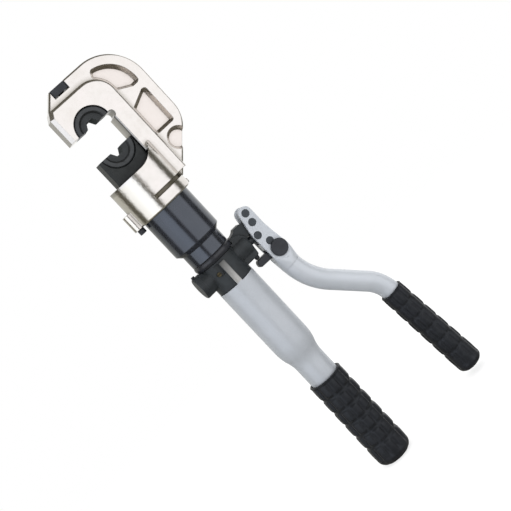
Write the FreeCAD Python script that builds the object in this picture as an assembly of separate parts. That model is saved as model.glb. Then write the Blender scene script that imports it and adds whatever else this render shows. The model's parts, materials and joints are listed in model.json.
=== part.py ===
import FreeCAD, Part
import math
import os

# Hand-operated hydraulic crimping tool: a C-shaped head with two dies, a ram in a
# cylinder, a pump body, a fixed handle that holds the oil, and a moving handle.
# Millimetres. +Z is the ram axis with the head at the top, +X points to the moving
# handle, -Y is the front. The origin is the middle of the flat end of the fixed grip.

os.makedirs("parts", exist_ok=True)

Vec = FreeCAD.Vector
parts = {}

# ------------------------------------------------------------------
# Dimensions shared between sections
# ------------------------------------------------------------------
# fits
RUN = 0.05                # running clearance on a radius
CLOSE_FIT = 0.03          # closer clearance, for the collar and the moving tube
SNUG_FIT = 0.02           # closest clearance, for grips and fork pins
END_GAP = 0.1             # axial clearance of a ring in its groove

# dies and their seats
DIE_Z_UP = 518.5          # flat of the upper die
DIE_Z_LOW = 483.0         # flat of the lower die, ram down
DIE_R = 21.9
SEAT_R = 22.0
DETENT_Y = 11.0           # spring balls behind the dies
DETENT_BALL_R = 2.4
DETENT_REACH = 23.1       # from a die's flat to the centre of its ball

# ram and cylinder
ROD_R = 15.0
THROAT_R = 18.0           # opening in the head for bush and wiper
CYL_R = 31.7
CYL_TOP_R = 31.0          # upper part of the cylinder, inside the head
SCREW_R = 3.0             # shanks of the button, holder screw and lock screw
LOCK_X = -39.0            # lock screw in the head's side boss

# pump body
SPIGOT_R = 17.95
COLLAR_Z0, COLLAR_Z1 = 316.6, 325.0
CLIP_Z0, CLIP_Z1 = 329.5, 330.9
CLIP_GROOVE_R = 16.5
SEAL_Z0, SEAL_Z1 = 333.0, 335.0
SEAL_GROOVE_R = 16.0
BODY_Z0, BODY_Z1 = 281.0, 316.5
BAR_R, BAR_Z = 14.4, 303.6   # horizontal bar through the body
PUMP_Z = 303.1            # height of the pump plunger's axis
PLUNGER_R = 5.0
RELEASE_X, RELEASE_R = 37.2, 3.0   # release pin under the pump body

# fixed handle
TUBE_R = 24.2
TUBE_SMALL_R = 18.8
TUBE_WALL = 2.2
TUBE_SPIGOT_R = 21.9      # body's spigot in the reservoir tube
TONGUE_X0, TONGUE_X1 = -5.0, 2.4
TONGUE_TOP = 312.4

# centres (x, z) of the pins across the fork
FULCRUM = (58.8, 318.4)
LINK = (53.1, PUMP_Z)
STOP = (59.9, 331.0)
RIVET = (59.6, 289.1)
AXLE = (62.4, 276.3)
PIN_R = 4.7


# ------------------------------------------------------------------
# Helpers
# ------------------------------------------------------------------
def cyl(radius, z0, z1, x=0.0, y=0.0):
    return Part.makeCylinder(radius, z1 - z0, Vec(x, y, z0), Vec(0, 0, 1))


def cyl_x(radius, x0, x1, y, z):
    return Part.makeCylinder(radius, x1 - x0, Vec(x0, y, z), Vec(1, 0, 0))


def cyl_y(radius, y0, y1, x, z):
    return Part.makeCylinder(radius, y1 - y0, Vec(x, y0, z), Vec(0, 1, 0))


def ring(outer_r, inner_r, start, end, *centre, along=cyl):
    """Cylinder with a through bore; along is one of the cyl functions."""
    bore = along(inner_r, start - 1, end + 1, *centre)
    return along(outer_r, start, end, *centre).cut(bore)


def box(x0, x1, y0, y1, z0, z1):
    return Part.makeBox(x1 - x0, y1 - y0, z1 - z0, Vec(x0, y0, z0))


def cut_all(shape, *tools):
    for tool in tools:
        shape = shape.cut(tool)
    return shape


def outline(steps, y=0.0):
    """A closed wire in the XZ plane. Each step is a point (x, z), or
    ("arc", mid_point, end_point)."""
    edges = []
    first = last = steps[0]
    for step in steps[1:] + [first]:
        start = Vec(last[0], y, last[1])
        if step[0] == "arc":
            middle, last = step[1:]
            end = Vec(last[0], y, last[1])
            edges.append(Part.Arc(start, Vec(middle[0], y, middle[1]), end).toShape())
        else:
            if abs(step[0] - last[0]) + abs(step[1] - last[1]) > 1e-7:
                edges.append(Part.makeLine(start, Vec(step[0], y, step[1])))
            last = step
    return Part.Wire(edges)


def prism(steps, y0, y1):
    return Part.Face(outline(steps, y0)).extrude(Vec(0, y1 - y0, 0))


def lathe(steps):
    """Solid of revolution about Z; the steps' points are (radius, z)."""
    return Part.Face(outline(steps)).revolve(Vec(0, 0, 0), Vec(0, 0, 1), 360)


def on_circle(centre, radius, degrees):
    angle = math.radians(degrees)
    return (centre[0] + radius * math.cos(angle), centre[1] + radius * math.sin(angle))


def arc(centre, radius, start, end):
    """Arc step around centre from angle start to end (degrees, XZ plane)."""
    return ("arc", on_circle(centre, radius, (start + end) / 2), on_circle(centre, radius, end))


def near(value, target):
    return abs(value - target) < 1e-6


def mid(edge):
    start, end = edge.ParameterRange
    return edge.valueAt((start + end) / 2)


def round_edges(shape, radius, pick, bevel=False):
    """Round (or bevel) the edges whose midpoint pick() accepts."""
    edges = [edge for edge in shape.Edges if pick(mid(edge))]
    if not edges:
        raise ValueError("no edge picked for a radius of %g" % radius)
    make = shape.makeChamfer if bevel else shape.makeFillet
    # a smaller radius is used where the kernel cannot fit the first one
    for scale in (1.0, 0.8, 0.6, 0.4):
        try:
            result = make(radius * scale, edges)
            if result.isValid() and result.Solids and result.Volume > 0:
                return result
        except Exception:
            pass
    return shape


def round_both_faces(shape, radius, pick):
    """Round the chosen edges of one Y face, then mirror that half about
    the XZ plane, so both faces match."""
    for side in (-1, 1):
        for scale in (1.0, 0.7, 0.5):
            edges = [e for e in shape.Edges if pick(mid(e)) and mid(e).y * side > 0]
            # the kernel may fail on one face or at one radius: go on to the next
            try:
                result = shape.makeFillet(radius * scale, edges)
            except Exception:
                continue
            if result.isValid() and result.Volume > 0:
                far_y = (0, 100) if side < 0 else (-100, 0)
                half = result.cut(box(-300, 300, *far_y, -10, 700))
                return half.fuse(half.mirror(Vec(0, 0, 0), Vec(0, 1, 0))).removeSplitter()
    return shape


def as_solid(shape):
    """The solid of a sweep, which may come back as a shell or a compound."""
    if shape.ShapeType == "Solid":
        return shape
    return shape.Solids[0] if shape.Solids else Part.Solid(shape)


def spring(coil_r, wire_r, z0, z1, turns, y=0.0):
    """A coil spring of round wire between z0 and z1."""
    height = z1 - z0 - 2 * wire_r
    path = Part.makeHelix(height / turns, height, coil_r)
    profile = Part.Wire([Part.makeCircle(wire_r, Vec(coil_r, 0, 0), Vec(0, 1, 0))])
    coil = as_solid(Part.Wire(path.Edges).makePipeShell([profile], True, True))
    coil.translate(Vec(0, y, z0 + wire_r))
    return coil


# ------------------------------------------------------------------
# C-head: outer rim, inner band and barrel, one forging
# ------------------------------------------------------------------
HEAD_TOP = 577.5          # top of the outer rim
RIM_HALF = 11.0           # half thickness of the outer rim
BAND_HALF = 18.0          # half thickness of the inner band
WEB_HALF = 3.0            # half thickness of the web inside the pockets
NOSE_X = -32.0            # open face of the nose
COLUMN_X = 23.1           # throat side of the column
NOSE_CORNER = (-27.0, 560.5)   # top of the nose's slope

RIM_ARC_R = 50.0
RIM_CENTRE = (36.5, HEAD_TOP - RIM_ARC_R)
RIM_X = RIM_CENTRE[0] + RIM_ARC_R
RIM_LOW_R = 37.0
RIM_LOW_CENTRE = (RIM_X - RIM_LOW_R, 477.1)
BAND_ARC_R = 27.0
BAND_TOP = NOSE_CORNER[1]
BAND_CENTRE = (19.5, BAND_TOP - BAND_ARC_R)
BAND_X = BAND_CENTRE[0] + BAND_ARC_R

BARREL_R = 38.0
BARREL_Z0, BARREL_Z1 = 399.5, 466.0
SEAT_FLOOR_Z = 449.5      # floor under the ram's die holder
LIP_R = 30.0              # sweep of the barrel's lips up to the column
LIP_CENTRE = (2.0, SEAT_FLOOR_Z + LIP_R)
LIP_END_X = 28.8

BOSS_X, BOSS_R = -39.2, 6.8
BOSS_Z0, BOSS_Z1 = 399.8, 421.0

POCKET_OUT_Y = -RIM_HALF - 6
POCKET_RUN = 3.6          # lean of the web pockets' walls, on the floor
POCKET_RISE = 7.4         # and up the wall
ROUND_POCKET = (63.1, 445.6)
ROUND_POCKET_R = 13.4

# throat and nose, common to rim and band, (x, z)
THROAT_OUTLINE = [
    (0.0, 430.0),
    (COLUMN_X, 430.0),
    (COLUMN_X, DIE_Z_UP),
    (NOSE_X, DIE_Z_UP),
    (NOSE_X, 552.5),
]


def head_rim():
    rim = prism(
        [
            (-10.5, HEAD_TOP),
            (RIM_CENTRE[0], HEAD_TOP),
            arc(RIM_CENTRE, RIM_ARC_R, 90, 0),
            (RIM_X, RIM_LOW_CENTRE[1]),
            arc(RIM_LOW_CENTRE, RIM_LOW_R, 0, -43.7),
            (38.0, 411.5),
            (0.0, 411.5),
            *THROAT_OUTLINE,
            NOSE_CORNER,
        ],
        -RIM_HALF,
        RIM_HALF,
    )
    return round_edges(
        rim, 2.6, lambda p: near(abs(p.y), RIM_HALF) and (p.z > BAND_TOP + 0.5 or p.x > 50)
    )


def head_band():
    band = prism(
        [
            NOSE_CORNER,
            (BAND_CENTRE[0], BAND_TOP),
            arc(BAND_CENTRE, BAND_ARC_R, 90, 0),
            (BAND_X, 417.5),
            (0.0, 417.5),
            *THROAT_OUTLINE,
        ],
        -BAND_HALF,
        BAND_HALF,
    )

    def on_face(point):
        return near(abs(point.y), BAND_HALF)

    def outer_edge(point):
        on_arc = point.x > 24 and point.z > BAND_CENTRE[1] + 0.1
        return on_face(point) and (point.z > BAND_TOP - 0.1 or on_arc or point.x > BAND_X - 0.1)

    band = round_edges(band, 4.5, lambda p: on_face(p) and p.x < -28, bevel=True)
    band = round_edges(band, 2.8, lambda p: on_face(p) and near(p.x, COLUMN_X))
    return round_edges(band, 4.2, outer_edge)


def head_barrel():
    barrel = cyl(BARREL_R, BARREL_Z0, BARREL_Z1)
    # the front and back lips sweep up to the column
    end_angle = -math.degrees(math.acos((LIP_END_X - LIP_CENTRE[0]) / LIP_R))
    sweep = [
        (-50, SEAT_FLOOR_Z),
        (LIP_CENTRE[0], SEAT_FLOOR_Z),
        arc(LIP_CENTRE, LIP_R, -90, end_angle),
        (LIP_END_X, 480.0),
        (-50, 480.0),
    ]
    barrel = barrel.cut(prism(sweep, -50, 50))
    barrel = barrel.cut(box(-50, COLUMN_X, -18.3, 18.3, SEAT_FLOOR_Z, 480))
    return round_edges(barrel, 2.2, lambda p: near(p.z, BARREL_Z0))


def lean_walls(shape):
    """Lean the walls of a pocket inwards."""
    edges = [edge for edge in shape.Edges if near(mid(edge).y, -WEB_HALF)]
    leaned = []
    # The kernel decides which face takes which distance, and one order may
    # fail; the right one leaves the larger floor.
    for first, second in ((POCKET_RUN, POCKET_RISE), (POCKET_RISE, POCKET_RUN)):
        try:
            result = shape.makeChamfer(first, second, edges)
        except Exception:
            continue
        if result.isValid() and result.Solids:
            floor = max(f.Area for f in result.Faces if near(f.CenterOfMass.y, -WEB_HALF))
            leaned.append((floor, result))
    return max(leaned, key=lambda entry: entry[0])[1] if leaned else shape


def web_pocket(steps, corner_r):
    shape = prism(steps, POCKET_OUT_Y, -WEB_HALF)
    middle_y = (POCKET_OUT_Y - WEB_HALF) / 2
    return lean_walls(round_edges(shape, corner_r, lambda p: abs(p.y - middle_y) < 0.01))


def web_pockets():
    """Front pockets between the band and the rim, from the top down."""
    upper = web_pocket(
        [
            on_circle(RIM_CENTRE, 38.3, 86.0),
            arc(RIM_CENTRE, 38.3, 86.0, -9.0),
            (64.5, 521.3),
            (47.4, 530.0),
            (46.9, 536.0),
            arc(BAND_CENTRE, 27.8, 5.3, 56.0),
        ],
        4.4,
    )
    middle = web_pocket(
        [(47.3, 503.0), (69.5, 513.2), (74.2, 511.4), (74.2, 463.6), (47.3, 463.6)], 5.0
    )
    x, z = ROUND_POCKET
    cone_y = -RIM_HALF + 0.6
    lower = cyl_y(ROUND_POCKET_R, POCKET_OUT_Y, cone_y, x, z).fuse(
        Part.makeCone(
            ROUND_POCKET_R, ROUND_POCKET_R - POCKET_RUN, POCKET_RISE,
            Vec(x, cone_y, z), Vec(0, 1, 0),
        )
    )
    # the band stays whole where the round pocket would reach it
    lower = lower.cut(box(20, 47.2, -40, 40, 400, 480))
    return upper, middle, lower


def barrel_groove():
    """Part-round groove outside the ram bore."""
    groove = ring(50, 34.4, 412.6, 417.5)
    corners = [Vec(0, 0, 0), Vec(-14.5, -60, 0), Vec(60, -60, 0), Vec(60, 45, 0), Vec(0, 0, 0)]
    wedge = Part.Face(Part.makePolygon(corners)).extrude(Vec(0, 0, 60))
    wedge.translate(Vec(0, 0, 380))
    return groove.common(wedge).common(cyl(38.6, 400, 430))


def head_frame():
    head = head_rim().fuse(head_band()).fuse(head_barrel())
    # side boss on the open side of the barrel
    boss = cyl(BOSS_R, BOSS_Z0, BOSS_Z1, BOSS_X)
    head = head.fuse(boss.fuse(box(BOSS_X, -30, -BOSS_R, BOSS_R, BOSS_Z0, BOSS_Z1)))
    # small round pip on the handle side of the barrel
    head = head.fuse(round_edges(cyl_x(3.5, 33.0, 40.7, 4.0, 403.3), 1.9, lambda p: p.x > 40))
    for tool in web_pockets():
        head = head.cut(tool)
        head = head.cut(tool.mirror(Vec(0, 0, 0), Vec(0, 1, 0)))
    return cut_all(
        head,
        # die seat, and the relief at the corner of the throat
        cyl_y(SEAT_R, -30, 30, 0, DIE_Z_UP).common(box(-30, 30, -30, 30, 500, 600)),
        cyl_y(4.5, -30, 30, 23.3, 514.4),
        # notch, shank hole and spring seat of the button
        box(-10.5, 10.5, -30, 30, 566.6, 600),
        cyl(SCREW_R + RUN, 530, 570),
        cyl(5.6, 556, 570),
        # spring ball behind the upper die
        cyl(DETENT_BALL_R + RUN, 530, 549.5, 0, DETENT_Y),
        # ram bore and throat for the guide bush
        cyl(CYL_TOP_R + RUN, 390, 438.5),
        cyl(THROAT_R, 430, 460),
        barrel_groove(),
        cyl(SCREW_R + RUN, 380, 417, LOCK_X),
    ).removeSplitter()


parts["head_frame"] = head_frame()

# ------------------------------------------------------------------
# Die release button, its spring, the upper detent
# ------------------------------------------------------------------
BUTTON_Z0, BUTTON_Z1 = 568.2, 577.2


def die_release_button():
    middle_z = (BUTTON_Z0 + BUTTON_Z1) / 2
    button = box(-10.1, 10.1, -10.2, 10.2, BUTTON_Z0, BUTTON_Z1)
    button = round_edges(button, 1.6, lambda p: abs(p.z - middle_z) < 0.01)
    button = round_edges(button, 1.1, lambda p: near(p.z, BUTTON_Z1))
    return button.fuse(cyl(SCREW_R, 542.3, 570)).removeSplitter()


def detent_ball(z):
    return Part.makeSphere(DETENT_BALL_R, Vec(0, DETENT_Y, z))


parts["die_release_button"] = die_release_button()
parts["button_spring"] = spring(4.2, 0.7, 556.1, 568.1, turns=5)
parts["upper_detent_ball"] = detent_ball(DIE_Z_UP + DETENT_REACH)
parts["upper_detent_spring"] = spring(1.5, 0.35, 544.1, 549.3, turns=5, y=DETENT_Y)

# ------------------------------------------------------------------
# Dies: half discs with a stepped face and a half-hexagon mouth
# ------------------------------------------------------------------
DIE_HALF = 17.0           # half thickness


def die(flat_z, up):
    """up is 1 for the die above its flat, -1 for the die below it."""
    disc = cyl_y(DIE_R, -DIE_HALF, DIE_HALF, 0, flat_z)
    disc = round_edges(disc, 1.9, lambda p: near(abs(p.y), DIE_HALF), bevel=True)
    # the core is set back on both faces, behind a conical step
    for side in (-1, 1):
        disc = disc.cut(
            Part.makeCone(16.2, 13.8, 2.2, Vec(0, side * DIE_HALF, flat_z), Vec(0, -side, 0))
        )
    far_z = flat_z + up * 40
    disc = disc.common(box(-30, 30, -30, 30, min(flat_z, far_z), max(flat_z, far_z)))
    wide_z, narrow_z = flat_z - up * 1.04, flat_z + up * 6.93
    mouth = [(-8.6, wide_z), (8.6, wide_z), (4.0, narrow_z), (-4.0, narrow_z)]
    disc = disc.cut(prism(mouth, -30, 30))
    # key groove at the outermost point, closed at the front face and open at
    # the back, so that the spring ball runs along it as the die comes out
    rim_z = flat_z + up * DIE_R
    inner_z, outer_z = rim_z - up * 1.6, rim_z + up
    return disc.cut(box(-3.4, 3.4, -12, 30, min(inner_z, outer_z), max(inner_z, outer_z)))


parts["upper_die"] = die(DIE_Z_UP, 1)
parts["lower_die"] = die(DIE_Z_LOW, -1)

# ------------------------------------------------------------------
# Ram: die holder, rod with piston, seals, bush, spring, screw
# ------------------------------------------------------------------
HOLDER_X0, HOLDER_X1 = -25.4, 22.9
HOLDER_HALF = 17.9
HOLDER_Z0 = 449.7
ROD_TIP_R, ROD_TIP_Z = 9.0, 453.7   # rod's end in the holder
PISTON_R = 23.95
PISTON_GROOVE_R = 20.0
PISTON_SEAL_Z0, PISTON_SEAL_Z1 = 358.6, 364.4
HOLDER_SCREW_Z = 456.6    # underside of the screw's head


def die_holder():
    def upright_edge(x):
        return lambda p: near(p.x, x) and near(abs(p.y), HOLDER_HALF)

    holder = box(HOLDER_X0, HOLDER_X1, -HOLDER_HALF, HOLDER_HALF, HOLDER_Z0, DIE_Z_LOW)
    holder = round_edges(holder, 4.4, upright_edge(HOLDER_X0), bevel=True)
    holder = round_edges(holder, 3.2, upright_edge(HOLDER_X1))
    return cut_all(
        holder,
        cyl_y(SEAT_R, -30, 30, 0, DIE_Z_LOW),
        cyl(ROD_TIP_R + RUN, 440, ROD_TIP_Z),
        cyl(SCREW_R + RUN, 450, 470),
        cyl(5.2, 456.5, 470),
        cyl(DETENT_BALL_R + RUN, 453.0, 470, 0, DETENT_Y),
    ).removeSplitter()


def piston_rod():
    rod = cyl(ROD_R, 368, HOLDER_Z0).fuse(cyl(ROD_TIP_R, 449, ROD_TIP_Z))
    rod = rod.fuse(cyl(PISTON_R, 352, 370))
    groove = ring(30, PISTON_GROOVE_R, PISTON_SEAL_Z0 - END_GAP, PISTON_SEAL_Z1 + END_GAP)
    return cut_all(rod, groove, cyl(SCREW_R + RUN, 438, 460)).removeSplitter()


def holder_screw():
    screw = cyl(SCREW_R, 440, HOLDER_SCREW_Z).fuse(cyl(5.0, HOLDER_SCREW_Z, 460.4))
    corners = [on_circle((0, 0), 2.5, 60 * i) for i in range(7)]
    hexagon = Part.makePolygon([Vec(x, y, 458) for x, y in corners])
    return screw.cut(Part.Face(hexagon).extrude(Vec(0, 0, 5)))


parts["die_holder"] = die_holder()
parts["piston_rod"] = piston_rod()
parts["piston_seal"] = ring(PISTON_R, PISTON_GROOVE_R + RUN, PISTON_SEAL_Z0, PISTON_SEAL_Z1)
parts["holder_screw"] = holder_screw()
parts["lower_detent_ball"] = detent_ball(DIE_Z_LOW - DETENT_REACH)
parts["lower_detent_spring"] = spring(1.5, 0.35, 453.1, 457.4, turns=4, y=DETENT_Y)
parts["guide_bush"] = ring(THROAT_R - RUN, ROD_R + RUN, 438.6, 446.0)
parts["rod_wiper"] = ring(THROAT_R - RUN, ROD_R + RUN, 446.1, 449.4)
parts["return_spring"] = spring(19.4, 2.1, 370.2, 438.2, turns=6.5)

# ------------------------------------------------------------------
# Cylinder: wide barrel, bevel, neck with the swivel socket
# ------------------------------------------------------------------
NECK_R = 25.8
NECK_Z0 = 325.2
CYL_SHOULDER_Z, CYL_TOP_Z = 399.3, 438.2
BORE_R = 24.0


def cylinder():
    shape = lathe(
        [
            (0, NECK_Z0),
            (NECK_R, NECK_Z0),
            (NECK_R, 341.8),
            (CYL_R - 0.4, 346.8),
            (CYL_R, 347.6),
            (CYL_R, CYL_SHOULDER_Z),
            (CYL_TOP_R, CYL_SHOULDER_Z),
            (CYL_TOP_R, CYL_TOP_Z),
            (0, CYL_TOP_Z),
        ]
    )
    return cut_all(
        shape,
        cyl(BORE_R, 350, 440),
        cyl(SPIGOT_R + RUN, 320, 338),
        cyl(2.5, 330, 352),
        cyl(19.6, CLIP_Z0 - 0.5, CLIP_Z1 + 0.5),
    ).removeSplitter()


def lock_screw():
    screw_head = cyl(4.25, 393.2, 399.4, LOCK_X)
    screw_head = round_edges(screw_head, 0.7, lambda p: near(p.z, 393.2))
    return screw_head.fuse(cyl(SCREW_R, 399, 416.5, LOCK_X))


parts["cylinder"] = cylinder()
parts["lock_screw"] = lock_screw()

# ------------------------------------------------------------------
# Swivel: collar, clip and seal on the pump body's spigot
# ------------------------------------------------------------------
parts["swivel_collar"] = lathe(
    [
        (SPIGOT_R + CLOSE_FIT, COLLAR_Z0),
        (25.1, COLLAR_Z0),
        ("arc", (26.6, (COLLAR_Z0 + COLLAR_Z1) / 2), (25.1, COLLAR_Z1)),
        (SPIGOT_R + CLOSE_FIT, COLLAR_Z1),
    ]
)
# the clip's gap is at the back
parts["swivel_clip"] = ring(19.3, CLIP_GROOVE_R + RUN, CLIP_Z0, CLIP_Z1).cut(
    box(-2.5, 2.5, 10, 25, 325, 335)
)
parts["swivel_seal"] = ring(SPIGOT_R, SEAL_GROOVE_R + RUN, SEAL_Z0, SEAL_Z1)

# ------------------------------------------------------------------
# Pump body
# ------------------------------------------------------------------
BODY_R = 23.8
BAR_END_X = 40.4
BLOCK_HALF = 10.0
LUG_HALF = 6.9
LUG_R = 9.0
GLAND_SEAT_R, GLAND_HEAD_SEAT_R = 8.0, 8.65
PLUNGER_SEAL_SEAT_R = 7.5
PLUG_SEAT_R = 10.0
DELIVERY_R = 4.0          # delivery valve chamber
SUCTION_R = 5.0           # suction valve chamber
RELIEF = (-12.6, 303.0)   # relief screw's axis, (x, z)
RELIEF_HOLE_R = 2.6

# block on the plunger's side, (x, z)
BLOCK_OUTLINE = [
    (8, 286.2), (37.8, 286.2), ("arc", (39.6, 287.0), (40.6, 289.0)),
    (41.8, 300.9), (41.8, 313.0), (37.4, 319.0), (30.0, 322.4), (8, 322.4),
]
# lug that carries the fulcrum pin, (x, z)
LUG_OUTLINE = [
    (27.5, 300.0), (27.5, 322.8), (30.5, 322.9),
    ("arc", (34.4, 324.4), (37.6, 327.0)),
    (46.0, 327.0),
    on_circle(FULCRUM, LUG_R, 142),
    arc(FULCRUM, LUG_R, 142, 0),
    arc(FULCRUM, LUG_R, 0, -125),
    (44.0, 309.6), (44.0, 300.0),
]


def body_outside():
    body = cyl(BODY_R, BODY_Z0, BODY_Z1)
    body = round_edges(body, 1.2, lambda p: near(p.z, BODY_Z0) or near(p.z, BODY_Z1))
    collar_room = cyl(26.75, BODY_Z1, 330)
    bar = cyl_x(BAR_R, -30.0, BAR_END_X, 0, BAR_Z)
    bar = round_edges(bar, 2.0, lambda p: p.x > 40, bevel=True)
    body = body.fuse(bar.cut(collar_room))
    block = prism(BLOCK_OUTLINE, -BLOCK_HALF, BLOCK_HALF)
    block = round_edges(block, 1.5, lambda p: near(abs(p.y), BLOCK_HALF) and p.x > 9)
    body = body.fuse(block.cut(collar_room))
    body = body.fuse(prism(LUG_OUTLINE, -LUG_HALF, LUG_HALF))
    # spigots into the swivel and into the reservoir tube
    return body.fuse(cyl(SPIGOT_R, 316, 336)).fuse(cyl(TUBE_SPIGOT_R, 262, 282))


def pump_body():
    tongue_slot = box(TONGUE_X0 - RUN, TONGUE_X1 + RUN, -30, -10, 270, TONGUE_TOP + END_GAP)
    recess = box(-15.5, -6.1, -30, -20.4, 299.2, 313.6)
    recess = round_edges(recess, 1.2, lambda p: abs(p.y + 25.2) < 0.01)
    return cut_all(
        body_outside(),
        ring(30, CLIP_GROOVE_R, CLIP_Z0 - END_GAP, CLIP_Z1 + END_GAP),
        ring(30, SEAL_GROOVE_R, SEAL_Z0 - END_GAP, SEAL_Z1 + END_GAP),
        # slot for the tongue of the reservoir tube, and the small front recess
        tongue_slot.cut(cyl(TUBE_SPIGOT_R, 260, 320)),
        recess,
        # pump bore, gland seat, seal seat, seat of the gland nut's head
        cyl_x(PLUNGER_R + RUN, 4, 60, 0, PUMP_Z),
        cyl_x(GLAND_SEAT_R, 34.4, 60, 0, PUMP_Z),
        cyl_x(PLUNGER_SEAL_SEAT_R, 31.9, 35, 0, PUMP_Z),
        cyl_x(GLAND_HEAD_SEAT_R, BAR_END_X, 60, 0, PUMP_Z),
        # seat of the valve plug
        cyl_x(PLUG_SEAT_R, -40, -24, 0, BAR_Z),
        # passages and valve chambers on the axis
        cyl(2.0, 300, 313),
        cyl(DELIVERY_R, 312, 340),
        cyl(3.5, 289, 303),
        cyl(SUCTION_R, 262, 289),
        cyl(8.05, 255, BODY_Z0),
        cyl_x(3.0, -1, 5, 0, PUMP_Z),
        # fulcrum, release pin, relief screw
        cyl_y(PIN_R + RUN, -20, 20, *FULCRUM),
        cyl(RELEASE_R + RUN, 280, 294.3, RELEASE_X),
        cyl_y(RELIEF_HOLE_R, -30, -12, *RELIEF),
    ).removeSplitter()


def valve_plug():
    plug = cyl_x(BAR_R, -36.9, -30.1, 0, BAR_Z)
    plug = round_edges(plug, 1.2, lambda p: p.x < -36, bevel=True)
    return plug.fuse(cyl_x(PLUG_SEAT_R - RUN, -32, -24.2, 0, BAR_Z)).removeSplitter()


def plug_stub():
    stub = round_edges(cyl(2.2, 317.0, 320.0, -33.6), 0.6, lambda p: near(p.z, 320.0))
    return stub.cut(cyl_x(BAR_R + RUN, -40, -20, 0, BAR_Z))


def suction_filter():
    cup = cyl(7.9, 255.0, 280.8).cut(cyl(6.9, 256.2, 281))
    return cup.fuse(ring(7.9, 1.8, 279.4, 280.8))


parts["pump_body"] = pump_body()
parts["valve_plug"] = valve_plug()
parts["plug_stub"] = plug_stub()
parts["relief_screw"] = cyl_y(RELIEF_HOLE_R - RUN, -22.2, -12.2, *RELIEF).cut(
    box(-16, -9, -23, -21.2, RELIEF[1] - 0.4, RELIEF[1] + 0.4)
)
parts["delivery_ball"] = Part.makeSphere(3.0, Vec(0, 0, 314.3))
parts["delivery_spring"] = spring(2.6, 0.45, 317.4, 327.8, turns=5)
parts["delivery_screw"] = ring(DELIVERY_R - RUN, 1.2, 328.0, 334.5)
parts["suction_ball"] = Part.makeSphere(2.4, Vec(0, 0, 291.0))
parts["suction_seat"] = ring(SUCTION_R - RUN, 1.4, 281.2, 288.9)
parts["suction_filter"] = suction_filter()

# ------------------------------------------------------------------
# Plunger, its gland and seal, the release pin
# ------------------------------------------------------------------
PLUNGER_HEAD_HALF = 6.0
LINK_SLOT_R = 2.88
LINK_SLOT_RISE = 1.2      # from the axis to the centre of each slot end


def pump_plunger():
    half = PLUNGER_HEAD_HALF
    block = box(46.6, 58.4, -half, half, PUMP_Z - half, PUMP_Z + half)
    block = round_edges(block, 1.5, lambda p: p.x > 58 and abs(p.y) < 0.01)
    plunger = cyl_x(PLUNGER_R, 8.0, 47.5, 0, PUMP_Z).fuse(block)
    # upright slot for the link pin
    x = LINK[0]
    low, high = PUMP_Z - LINK_SLOT_RISE, PUMP_Z + LINK_SLOT_RISE
    return cut_all(
        plunger,
        box(x - LINK_SLOT_R, x + LINK_SLOT_R, -20, 20, low, high),
        cyl_y(LINK_SLOT_R, -20, 20, x, low),
        cyl_y(LINK_SLOT_R, -20, 20, x, high),
    ).removeSplitter()


def gland_nut():
    nut = cyl_x(GLAND_SEAT_R - RUN, 34.6, 40.6, 0, PUMP_Z)
    nut = nut.fuse(cyl_x(GLAND_HEAD_SEAT_R - RUN, 40.5, 42.0, 0, PUMP_Z))
    return nut.cut(cyl_x(PLUNGER_R + RUN, 20, 60, 0, PUMP_Z))


def release_pin():
    dome = Part.makeSphere(3.9, Vec(RELEASE_X, 0, 285.2))
    tip = dome.common(cyl(RELEASE_R, 281.0, 284.6, RELEASE_X))
    return cyl(RELEASE_R, 283.6, 291.0, RELEASE_X).fuse(tip).removeSplitter()


parts["pump_plunger"] = pump_plunger()
parts["gland_nut"] = gland_nut()
parts["plunger_seal"] = ring(
    PLUNGER_SEAL_SEAT_R - RUN, PLUNGER_R + RUN, 32.0, 34.3, 0, PUMP_Z, along=cyl_x
)
parts["release_pin"] = release_pin()

# ------------------------------------------------------------------
# Fixed handle: reservoir tube with tongue, bladder, plug
# ------------------------------------------------------------------
TUBE_Z0, TUBE_Z1 = 16.0, BODY_Z0 - RUN
# (radius, z)
BLADDER_OUTSIDE = [
    (0, 40), (13.0, 40), (15.0, 43), (15.0, 150), (20.5, 196),
    (20.5, 250), (9.5, 254), (9.5, 258), (0, 258),
]
BLADDER_INSIDE = [
    (0, 42), (11.5, 42), (13.4, 44.5), (13.4, 150.5), (18.9, 196.5),
    (18.9, 248.8), (8.0, 252.6), (8.0, 260), (0, 260),
]


def fixed_tube():
    tube = lathe(
        [
            (TUBE_R - TUBE_WALL, TUBE_Z1),
            (TUBE_R, TUBE_Z1),
            (TUBE_R, 188.0),
            ("arc", (TUBE_R - 0.62, 180.0), (TUBE_R - 2.2, 172.5)),
            ("arc", (TUBE_SMALL_R + 0.75, 164.0), (TUBE_SMALL_R, 156.0)),
            (TUBE_SMALL_R, TUBE_Z0),
            (TUBE_SMALL_R - TUBE_WALL, TUBE_Z0),
            (TUBE_SMALL_R - TUBE_WALL, 157.0),
            (TUBE_R - TUBE_WALL, 190.0),
        ]
    )
    tongue = ring(TUBE_R, TUBE_SPIGOT_R + RUN, 275, TONGUE_TOP)
    tongue = tongue.common(box(TONGUE_X0, TONGUE_X1, -30, -10, 275, TONGUE_TOP))
    return tube.fuse(tongue).removeSplitter()


def reservoir_plug():
    flange = cyl(TUBE_SMALL_R, 12.6, TUBE_Z0).fuse(cyl(10, 15, 18))
    return cyl(TUBE_SMALL_R - TUBE_WALL - SNUG_FIT, 17.0, 34.0).fuse(flange)


parts["fixed_tube"] = fixed_tube()
parts["oil_bladder"] = lathe(BLADDER_OUTSIDE).cut(lathe(BLADDER_INSIDE))
parts["reservoir_plug"] = reservoir_plug()


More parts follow.
